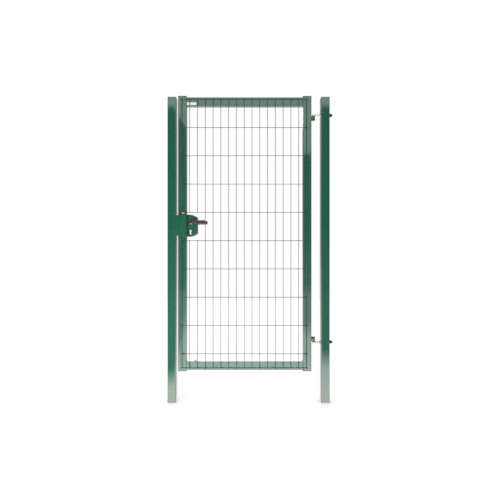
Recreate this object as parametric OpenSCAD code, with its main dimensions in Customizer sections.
// Mesh pedestrian gate: one framed leaf of welded wire mesh, hung between two square posts.
// Millimetres. +Z is up, +X runs from the latch post to the hinge post, +Y is the way the leaf opens.
// The origin is the centre of the hinge post's foot, at ground level.

/* [Opening] */
// Clear width between the two posts
clear_w = 1025; // [900:5:1300]
// Gap between the leaf and the latch post
latch_gap = 13; // [13:1:25]
// Gap between the leaf and the hinge post
hinge_gap = 67; // [64:1:100]
// Gap between the ground and the leaf
ground_gap = 220; // [80:5:240]

/* [Posts] */
// Height of a post with its cap
post_h = 2160; // [2150:5:2600]
// Outside width of the square post
post_w = 60; // [50:1:100]
// Wall of the post tube
post_wall = 2; // [1.5:0.5:4]
// Outside corner radius of the post tube
post_r = 4; // [3:0.5:8]
// Thickness of the post cap above the tube
post_cap_t = 3; // [2:0.5:6]

/* [Leaf frame] */
// Height of the leaf with its end caps
leaf_h = 1950; // [1700:5:2000]
// Face width of a stile
stile_w = 60; // [50:1:80]
// Face height of a rail
rail_w = 60; // [40:1:80]
// Depth of stiles and rails
frame_d = 40; // [36:1:50]
// Wall of the frame tube
frame_wall = 2; // [1.5:0.5:4]
// Outside corner radius of the frame tube
frame_r = 3; // [3:0.5:6]
// How far a stile runs past the outer edge of a rail
stile_past = 10; // [6:1:30]
// Thickness of a stile's end cap
end_cap_t = 3; // [2:0.5:5]
// Depth of a cap's plug inside its tube
plug_h = 14; // [8:1:30]

/* [Mesh] */
// Diameter of the mesh wire
wire_d = 4; // [3:0.5:5]
// Spacing of the upright wires
pitch_x = 55; // [40:5:80]
// Spacing of the level wires
pitch_z = 200; // [150:10:210]
// Inset of the first and last level wire from the rail's outer edge
mesh_edge = 15; // [10:1:25]
// How far a level wire runs past the outermost upright
level_past = 8; // [4:1:15]
// How far an upright runs past the outermost level wire
upright_past = 5; // [4:1:9]
// How far the mesh sits towards the latch, off the leaf's middle
mesh_left = 4; // [0:1:6]
// Depth that one wire sinks into the other at a weld
weld_sink = 0.4; // [0.2:0.1:0.8]

/* [Hinges] */
// Height of the lower eyebolt above the leaf's foot
hinge_low_up = 203; // [120:1:400]
// Depth of the upper eyebolt below the leaf's head
hinge_high_down = 132; // [90:2:400]
// Distance from the leaf's edge to the hinge axis
pivot_off = 21; // [20:1:28]
// Diameter of the hinge pin
pin_d = 10; // [8:0.5:12]
// How far the pin runs past the eye
pin_past = 2.5; // [1:0.5:6]
// Outside diameter of the lug's barrel
barrel_d = 15; // [14:0.5:20]
// Height of the lug's barrel
barrel_h = 33; // [32:1:50]
// Height of the lug's plate
lug_h = 32; // [20:1:32]
// Thickness of the lug's plate
lug_t = 8; // [5:0.5:12]
// Outside diameter of the eye
eye_d = 28; // [26:0.5:32]
// Thickness of the eye and diameter of the plain rod
rod_d = 11; // [9:0.5:11.5]
// Outside diameter of the thread
thread_d = 12; // [12:0.5:16]
// Length of plain rod between the eye and the thread
rod_plain = 8; // [4:1:12]
// Width of the nut across its flats
nut_af = 19; // [19:1:24]
// Thickness of the nut
nut_t = 9; // [6:0.5:12]
// Outside diameter of the washer
washer_d = 24; // [22:1:30]
// Thickness of the washer
washer_t = 2.5; // [1.5:0.5:4]
// Diameter of the dome nut
dome_d = 26; // [20:1:28]
// Straight part of the dome nut
dome_h = 12; // [6:0.5:14]
// Length of thread inside the dome nut
dome_grip = 14; // [8:1:15]

/* [Lock] */
// Height of the lock's middle above the leaf's foot
lock_up = 1031; // [850:1:1100]
// Height of the lock cover and of the keep plate
lock_h = 158; // [140:2:180]
// Straight part of the lock cover beside the stile
lock_flat = 14; // [8:1:50]
// Rounded part of the lock cover
lock_arc = 63; // [40:1:75]
// Radius of the lock cover's corners
lock_r = 100; // [80:1:140]
// Thickness of a lock cover
cover_t = 5; // [4:0.5:5]
// Bevel of the cover's and the keep's edges
bevel = 3.5; // [1:0.25:3.5]
// Inset of the lock case behind the cover's edge
case_inset = 2; // [1:0.5:4]
// Distance from the stile to the axis of the spindle and the cylinder
backset = 31; // [26:1:40]
// Height of the spindle above the lock's middle
spindle_up = 24; // [20:1:30]
// Distance from the spindle down to the key cylinder
cylinder_drop = 62; // [55:1:65]
// Length of the key cylinder outside each cover
cylinder_out = 4; // [2:0.5:8]
// Diameter of the key cylinder's round part
cylinder_d = 17; // [16:0.5:18]
// Height of the key cylinder's section
cylinder_h = 33; // [31:0.5:34]
// Width of the key cylinder's lower part
cylinder_w = 10; // [9:0.5:11]
// Thickness of the lock's forend
forend_t = 2.5; // [1.5:0.5:3]
// Width of the lock's forend
forend_w = 22; // [18:1:30]
// How far the forend runs past the lock case, above and below
forend_past = 9; // [5:1:20]
// How far the latch bolt stands out of the forend
latch_out = 5; // [2:0.5:5]
// Width of the latch bolt
latch_bolt_w = 12; // [8:1:14]
// Height of the latch bolt
latch_bolt_h = 18; // [14:1:22]
// How far the unlocked dead bolt stands out of the forend
dead_out = 1.5; // [0:0.5:4]
// Width of the dead bolt
dead_bolt_w = 10; // [8:1:14]
// Height of the dead bolt
dead_bolt_h = 24; // [18:1:28]

/* [Keep] */
// How far the keep plate covers the latch post
keep_on_post = 32; // [25:1:50]
// How far the keep plate runs past the stile
keep_past = 4; // [0:1:8]
// Straight part of the keep plate
keep_flat = 22; // [20:1:60]
// Radius of the keep plate's corners
keep_r = 150; // [100:1:160]
// Thickness of the keep plate
keep_t = 8; // [4:0.5:12]

/* [Levers] */
// Diameter of the lever's neck
neck_d = 20; // [16:1:22]
// Distance from the leaf's middle to the middle of the grip
grip_out = 62; // [56:1:80]
// Length of the grip from the spindle to its tip
grip_l = 109; // [90:1:120]
// How far the lever's head reaches behind the spindle
head_l = 12; // [11:1:18]
// Height of the grip at its head
head_h = 27; // [22:1:32]
// Height of the grip at its tip
tip_h = 24; // [16:1:28]
// Thickness of the grip
grip_t = 13; // [10:1:16]
// Bevel of the grip's edges
grip_round = 3.5; // [1:0.5:3.5]
// Width of the square spindle
spindle_w = 8; // [7:1:10]
// Diameter of the rose round the neck
rose_d = 30; // [28:1:38]
// Thickness of the rose
rose_t = 4; // [2:0.5:6]

/* [Label] */
// Width of the blank label plate on the top rail
label_w = 68; // [40:1:100]
// Height of the label plate
label_h = 19; // [12:1:26]
// Thickness of the label plate
label_t = 0.8; // [0.5:0.1:1.5]

/* [Hidden] */
$fn = 64;
// Play of a turning pin, of a bolt's thread and of a plug or cylinder in its hole.
pin_clear = 0.1;
thread_clear = 0.05;
slide_clear = 0.3;
hole_clear = 0.5;
// Axial play between the eye and the barrel that turns on it.
thrust_clear = 0.3;

// Places across the gate.
hinge_face_x = -post_w / 2;
latch_face_x = hinge_face_x - clear_w;
latch_post_x = latch_face_x - post_w / 2;
leaf_right_x = hinge_face_x - hinge_gap;
leaf_left_x = latch_face_x + latch_gap;
leaf_w = leaf_right_x - leaf_left_x;
pivot_x = leaf_right_x + pivot_off;
bay_left_x = leaf_left_x + stile_w;
bay_right_x = leaf_right_x - stile_w;
axis_x = bay_left_x + backset;

// Depths: the frame's front face, the post's front face and the cover's outer face.
frame_y = -frame_d / 2;
post_y = -post_w / 2;
cover_y = frame_y - cover_t;

// Heights.
leaf_low_z = ground_gap;
leaf_top_z = ground_gap + leaf_h;
rail_low_z = leaf_low_z + stile_past;
rail_top_z = leaf_top_z - stile_past;
lower_z = leaf_low_z + hinge_low_up;
upper_z = leaf_top_z - hinge_high_down;
lug_shift = rod_d / 2 + thrust_clear + barrel_h / 2;
lock_z = leaf_low_z + lock_up;
spindle_z = lock_z + spindle_up;
cylinder_z = spindle_z - cylinder_drop;

// Mesh: uprights evenly spaced across the leaf, level wires counted down from the top one.
col_n = floor((leaf_w - stile_w) / pitch_x);
col_first_x = (leaf_left_x + leaf_right_x - col_n * pitch_x) / 2 - mesh_left;
row_top_z = rail_top_z - mesh_edge;
row_low_z = rail_low_z + mesh_edge;
row_n = floor((row_top_z - row_low_z - pitch_z / 4) / pitch_z);
rows = concat([row_low_z], [for (k = [row_n : -1 : 0]) row_top_z - k * pitch_z]);
level_y = frame_y - wire_d / 2;
upright_y = level_y - wire_d + weld_sink;
// The uprights near the lock stop at the level wires below and above it.
cut_low_z = max([for (z = rows) if (z < lock_z - lock_h / 2 - wire_d) z]);
cut_top_z = min([for (z = rows) if (z > lock_z + lock_h / 2 + wire_d) z]);
cut_x = bay_left_x + lock_flat + lock_arc + wire_d;

// Sections of the two bolts: width in Y and height in Z.
latch_size = [latch_bolt_w, latch_bolt_h];
dead_size = [dead_bolt_w, dead_bolt_h];

// Hinge hardware.
eye_bore_r = pin_d / 2 + pin_clear;
bolt_hole_d = thread_d + 2 * hole_clear;
thread_start_x = pivot_x + eye_d / 2 + rod_plain;
bolt_end_x = post_w / 2 + dome_grip;

green = [0.13, 0.38, 0.29];
dark_green = [0.07, 0.22, 0.17];
zinc = [0.78, 0.77, 0.74];
black = [0.07, 0.07, 0.08];
bronze = [0.26, 0.22, 0.21];

// ---- shared shapes ----

// Rectangle with round corners, centred.
module rounded_rect(w, d, r) {
    square([w - 2 * r, d], center = true);
    square([w, d - 2 * r], center = true);
    for (x = [-1, 1], y = [-1, 1])
        translate([x * (w / 2 - r), y * (d / 2 - r)]) circle(r);
}

// Rectangular tube standing on the XY plane.
module tube(w, d, wall, r, h) {
    linear_extrude(h) difference() {
        rounded_rect(w, d, r);
        rounded_rect(w - 2 * wall, d - 2 * wall, r - wall / 2);
    }
}

// Cap for a tube that ends at z = 0: a flat head above it and a plug inside it.
module tube_cap(w, d, wall, r, t) {
    linear_extrude(t) rounded_rect(w, d, r);
    translate([0, 0, -plug_h])
        linear_extrude(plug_h)
            rounded_rect(w - 2 * (wall + slide_clear), d - 2 * (wall + slide_clear), r - wall / 2);
}

// Round bar or round cut along X, from x0 to x1 at height z.
module bar_x(x0, x1, z, d) {
    translate([x0, 0, z]) rotate([0, 90, 0]) cylinder(h = x1 - x0, d = d);
}

// Outline in XZ stood upright and extruded from y0 to y1.
module slab(y0, y1) {
    translate([0, y1, 0]) rotate([90, 0, 0]) linear_extrude(y1 - y0) children();
}

// Everything below the upper arc of a shield.
module under_arc(flat, arc, h, r, inset) {
    translate([0, -h / 2]) square([flat, h]);
    translate([0, -h / 2]) square([flat + arc, h - r]);
    translate([flat, h / 2 - r]) circle(r - inset, $fn = 96);
}

// Shield outline: a straight edge at x = 0, and arcs that narrow it towards x = flat + arc.
module shield(flat, arc, h, r, inset = 0) {
    intersection() {
        translate([inset, inset - h / 2]) square([flat + arc - 2 * inset, h - 2 * inset]);
        under_arc(flat, arc, h, r, inset);
        mirror([0, 1]) under_arc(flat, arc, h, r, inset);
    }
}

// Shield plate from y = 0 towards -Y, with a bevelled front edge.
module shield_plate(flat, arc, h, r, t) {
    hull() {
        slab(bevel - t, 0) shield(flat, arc, h, r);
        slab(-t, 0) shield(flat, arc, h, r, bevel);
    }
}

// Section of the key cylinder, grown by extra all round, with its round part at the origin.
module cylinder_section(extra = 0) {
    foot = cylinder_h - cylinder_d / 2 - cylinder_w / 2;
    circle(d = cylinder_d + 2 * extra);
    translate([-cylinder_w / 2 - extra, -foot]) square([cylinder_w + 2 * extra, foot]);
    translate([0, -foot]) circle(d = cylinder_w + 2 * extra);
}

// Cuts for the spindle's neck and the key cylinder, from y0 to y1.
module lock_cuts(y0, y1) {
    translate([axis_x, y1, spindle_z]) rotate([90, 0, 0])
        cylinder(h = y1 - y0, d = neck_d + 2 * hole_clear);
    translate([axis_x, 0, cylinder_z]) slab(y0, y1) cylinder_section(hole_clear);
}

// Block along X for a bolt or its passage: size is width in Y and height in Z.
module bolt_block(x0, x1, z, size, extra = 0) {
    translate([x0, -size[0] / 2 - extra, z - size[1] / 2 - extra])
        cube([x1 - x0, size[0] + 2 * extra, size[1] + 2 * extra]);
}

// ---- posts ----

module hinge_post() {
    color(green) difference() {
        tube(post_w, post_w, post_wall, post_r, post_h - post_cap_t);
        for (z = [lower_z, upper_z]) bar_x(-post_w, post_w, z, bolt_hole_d);
    }
}

module latch_post() {
    color(green) difference() {
        translate([latch_post_x, 0, 0])
            tube(post_w, post_w, post_wall, post_r, post_h - post_cap_t);
        for (bolt = [[spindle_z, latch_size], [cylinder_z, dead_size]])
            bolt_block(latch_post_x, latch_face_x + 1, bolt[0], bolt[1], 3);
    }
}

module post_cap(x) {
    color(dark_green) translate([x, 0, post_h - post_cap_t])
        tube_cap(post_w, post_w, post_wall, post_r, post_cap_t);
}

module hinge_post_cap() { post_cap(0); }
module latch_post_cap() { post_cap(latch_post_x); }

// Eye on the hinge axis with its rod and thread through the hinge post.
module eyebolt(z) {
    core_r = eye_d / 2 - rod_d / 2;
    color(zinc) {
        translate([pivot_x, 0, z]) rotate_extrude() {
            intersection() {
                translate([core_r, 0]) circle(d = rod_d);
                translate([core_r, -rod_d / 2]) square(rod_d);
            }
            translate([eye_bore_r, -rod_d / 2]) square([core_r - eye_bore_r, rod_d]);
        }
        bar_x(pivot_x + core_r, thread_start_x + 1, z, rod_d);
        bar_x(thread_start_x, bolt_end_x, z, thread_d);
    }
}

module upper_eyebolt() { eyebolt(upper_z); }
module lower_eyebolt() { eyebolt(lower_z); }

// Washer on the inner face of the hinge post.
module washer(z) {
    color(zinc) difference() {
        bar_x(hinge_face_x - washer_t, hinge_face_x, z, washer_d);
        bar_x(hinge_face_x - washer_t - 1, hinge_face_x + 1, z, bolt_hole_d);
    }
}

module upper_washer() { washer(upper_z); }
module lower_washer() { washer(lower_z); }

// Hexagon nut against the washer.
module nut(z) {
    color(zinc) difference() {
        translate([hinge_face_x - washer_t - nut_t, 0, z]) rotate([0, 90, 0])
            cylinder(h = nut_t, r = nut_af / 2 / cos(30), $fn = 6);
        bar_x(hinge_face_x - washer_t - nut_t - 1, hinge_face_x, z, thread_d + 2 * thread_clear);
    }
}

module upper_nut() { nut(upper_z); }
module lower_nut() { nut(lower_z); }

// Dome nut on the outer face of the hinge post.
module dome_nut(z) {
    color(black) difference() {
        translate([post_w / 2, 0, z]) rotate([0, 90, 0]) rotate_extrude() {
            square([dome_d / 2, dome_h]);
            intersection() {
                translate([0, dome_h]) circle(d = dome_d);
                translate([0, dome_h]) square([dome_d / 2, dome_d / 2]);
            }
        }
        bar_x(post_w / 2 - 1, bolt_end_x + 1, z, thread_d + 2 * thread_clear);
    }
}

module upper_dome_nut() { dome_nut(upper_z); }
module lower_dome_nut() { dome_nut(lower_z); }

// Stop plate on the front of the latch post, in front of the gap and the stile.
module keep_plate() {
    keep_right_x = bay_left_x + keep_past;
    keep_w = keep_right_x - latch_face_x + keep_on_post;
    color(green) translate([keep_right_x, post_y, lock_z]) mirror([1, 0, 0])
        shield_plate(keep_flat, keep_w - keep_flat, lock_h, keep_r, keep_t);
}

// ---- leaf ----

// Stile whose outer edge is at x0.
module stile(x0) {
    translate([x0 + stile_w / 2, 0, leaf_low_z + end_cap_t])
        tube(stile_w, frame_d, frame_wall, frame_r, leaf_h - 2 * end_cap_t);
}

module latch_stile() {
    color(green) difference() {
        stile(leaf_left_x);
        for (bolt = [[spindle_z, latch_size], [cylinder_z, dead_size]])
            bolt_block(leaf_left_x - 1, bay_left_x + 1, bolt[0], bolt[1], slide_clear);
    }
}

module hinge_stile() { color(green) stile(leaf_right_x - stile_w); }

// Rail between the stiles, with its middle at height z.
module rail(z) {
    color(green) translate([bay_left_x, 0, z]) rotate([0, 90, 0])
        tube(rail_w, frame_d, frame_wall, frame_r, bay_right_x - bay_left_x);
}

module top_rail() { rail(rail_top_z - rail_w / 2); }
module bottom_rail() { rail(rail_low_z + rail_w / 2); }

// Cap on the head (side = 1) or the foot (side = -1) of the stile whose outer edge is at x0.
module stile_cap(x0, side) {
    z = side > 0 ? leaf_top_z - end_cap_t : leaf_low_z + end_cap_t;
    color(black) translate([x0 + stile_w / 2, 0, z]) mirror([0, 0, side > 0 ? 0 : 1])
        tube_cap(stile_w, frame_d, frame_wall, frame_r, end_cap_t);
}

module latch_stile_top_cap() { stile_cap(leaf_left_x, 1); }
module latch_stile_foot_cap() { stile_cap(leaf_left_x, -1); }
module hinge_stile_top_cap() { stile_cap(leaf_right_x - stile_w, 1); }
module hinge_stile_foot_cap() { stile_cap(leaf_right_x - stile_w, -1); }

// Wire of length l from the origin up, as an octagonal bar whose flats face the axes.
module wire(l) {
    rotate(22.5) cylinder(h = l, r = wire_d / 2 / cos(22.5), $fn = 8);
}

// Upright wire at x between two heights.
module upright(x, z0, z1) {
    translate([x, upright_y, z0]) wire(z1 - z0);
}

module mesh_panel() {
    low = row_low_z - upright_past;
    top = row_top_z + upright_past;
    color(dark_green) {
        for (z = rows)
            translate([col_first_x - level_past, level_y, z]) rotate([0, 90, 0])
                wire(col_n * pitch_x + 2 * level_past);
        for (i = [0 : col_n]) {
            x = col_first_x + i * pitch_x;
            if (x < cut_x) {
                upright(x, low, cut_low_z + upright_past);
                upright(x, cut_top_z - upright_past, top);
            } else {
                upright(x, low, top);
            }
        }
    }
}

// Welded lug on the hinge stile: a plate with the barrel that holds the pin.
module hinge_lug(z) {
    color(dark_green) difference() {
        union() {
            translate([leaf_right_x, -lug_t / 2, z - lug_h / 2]) cube([pivot_off, lug_t, lug_h]);
            translate([pivot_x, 0, z - barrel_h / 2]) cylinder(h = barrel_h, d = barrel_d);
        }
        translate([pivot_x, 0, z - barrel_h / 2 - 1])
            cylinder(h = barrel_h + 2, d = pin_d + 2 * thread_clear);
    }
}

// The upper lug hangs below its eye and the lower one sits above it, so the leaf can't be lifted off.
module upper_hinge_lug() { hinge_lug(upper_z - lug_shift); }
module lower_hinge_lug() { hinge_lug(lower_z + lug_shift); }

// Pin through the barrel and the eye, which is above the lug (side = 1) or below it (side = -1).
module hinge_pin(z, side) {
    color(zinc) translate([pivot_x, 0, z]) mirror([0, 0, side > 0 ? 0 : 1])
        translate([0, 0, -barrel_h / 2])
            cylinder(h = barrel_h + thrust_clear + rod_d + pin_past, d = pin_d);
}

module upper_hinge_pin() { hinge_pin(upper_z - lug_shift, 1); }
module lower_hinge_pin() { hinge_pin(lower_z + lug_shift, -1); }

// ---- lock ----

module lock_case() {
    color(green) difference() {
        translate([bay_left_x - case_inset, 0, lock_z]) slab(frame_y, -frame_y)
            shield(lock_flat + case_inset, lock_arc, lock_h, lock_r, case_inset);
        lock_cuts(frame_y - 1, 1 - frame_y);
    }
}

// Cover of the lock, with its back on the case at y = frame_y.
module lock_cover() {
    color(green) difference() {
        translate([bay_left_x, frame_y, lock_z])
            shield_plate(lock_flat, lock_arc, lock_h, lock_r, cover_t);
        lock_cuts(cover_y - 1, frame_y + 1);
    }
}

module front_lock_cover() { lock_cover(); }
module back_lock_cover() { mirror([0, 1, 0]) lock_cover(); }

module lock_forend() {
    color(zinc) difference() {
        translate([leaf_left_x - forend_t, -forend_w / 2, lock_z - lock_h / 2 - forend_past])
            cube([forend_t, forend_w, lock_h + 2 * forend_past]);
        for (bolt = [[spindle_z, latch_size], [cylinder_z, dead_size]])
            bolt_block(leaf_left_x - forend_t - 1, leaf_left_x + 1, bolt[0], bolt[1], slide_clear);
    }
}

// Latch bolt with its nose bevelled on the side that meets the post as the leaf shuts.
module latch_bolt() {
    w = latch_size[0];
    nose_x = leaf_left_x - forend_t - latch_out;
    color(zinc) translate([0, 0, spindle_z - latch_size[1] / 2]) linear_extrude(latch_size[1])
        polygon([
            [bay_left_x, -w / 2], [bay_left_x, w / 2], [nose_x, w / 2],
            [nose_x, w / 4], [nose_x + latch_out, -w / 2]
        ]);
}

module dead_bolt() {
    color(zinc) bolt_block(leaf_left_x - forend_t - dead_out, bay_left_x, cylinder_z, dead_size);
}

module key_cylinder() {
    color([0.85, 0.76, 0.68]) translate([axis_x, 0, cylinder_z])
        slab(cover_y - cylinder_out, cylinder_out - cover_y) cylinder_section();
}

// Rose round the lever's neck, on the front cover.
module rose() {
    color(zinc) difference() {
        translate([axis_x, cover_y, spindle_z]) rotate([90, 0, 0]) cylinder(h = rose_t, d = rose_d);
        translate([axis_x, cover_y + 1, spindle_z]) rotate([90, 0, 0])
            cylinder(h = rose_t + 2, d = neck_d + 2 * slide_clear);
    }
}

module front_rose() { rose(); }
module back_rose() { mirror([0, 1, 0]) rose(); }

// Blank plate on the front of the top rail, at its latch end.
module label_plate() {
    color("white")
        translate([bay_left_x + 3, frame_y - label_t, rail_top_z - rail_w / 2 - label_h / 2 - 16])
            cube([label_w, label_t, label_h]);
}

// ---- levers ----

// Outline of the grip from its round head to its blunter tip, pulled in by inset.
module grip_outline(inset = 0) {
    tip_r = tip_h / 4;
    hull() {
        translate([head_h / 2 - head_l, 0]) circle(d = head_h - 2 * inset);
        for (side = [-1, 1])
            translate([grip_l - tip_r, side * (tip_h / 2 - tip_r)]) circle(r = tip_r - inset);
    }
}

// Front lever: a round neck out of the lock and a flat grip that points to the hinge side.
module lever() {
    color(bronze) translate([axis_x, 0, spindle_z]) {
        translate([0, -spindle_w, 0]) rotate([90, 0, 0])
            cylinder(h = grip_out - spindle_w, d = neck_d);
        hull() {
            slab(grip_round - grip_out - grip_t / 2, grip_t / 2 - grip_out - grip_round)
                grip_outline();
            slab(-grip_out - grip_t / 2, grip_t / 2 - grip_out) grip_outline(grip_round);
        }
    }
}

module front_lever() { lever(); }
module back_lever() { mirror([0, 1, 0]) lever(); }

// Square spindle between the two necks.
module spindle() {
    color(zinc) translate([axis_x, 0, spindle_z]) cube([spindle_w, 2 * spindle_w, spindle_w], center = true);
}

hinge_post();
latch_post();
hinge_post_cap();
latch_post_cap();
upper_eyebolt();
lower_eyebolt();
upper_washer();
lower_washer();
upper_nut();
lower_nut();
upper_dome_nut();
lower_dome_nut();
keep_plate();
latch_stile();
hinge_stile();
top_rail();
bottom_rail();
latch_stile_top_cap();
latch_stile_foot_cap();
hinge_stile_top_cap();
hinge_stile_foot_cap();
mesh_panel();
upper_hinge_lug();
lower_hinge_lug();
upper_hinge_pin();
lower_hinge_pin();
lock_case();
front_lock_cover();
back_lock_cover();
lock_forend();
latch_bolt();
dead_bolt();
key_cylinder();
front_rose();
back_rose();
label_plate();
front_lever();
back_lever();
spindle();
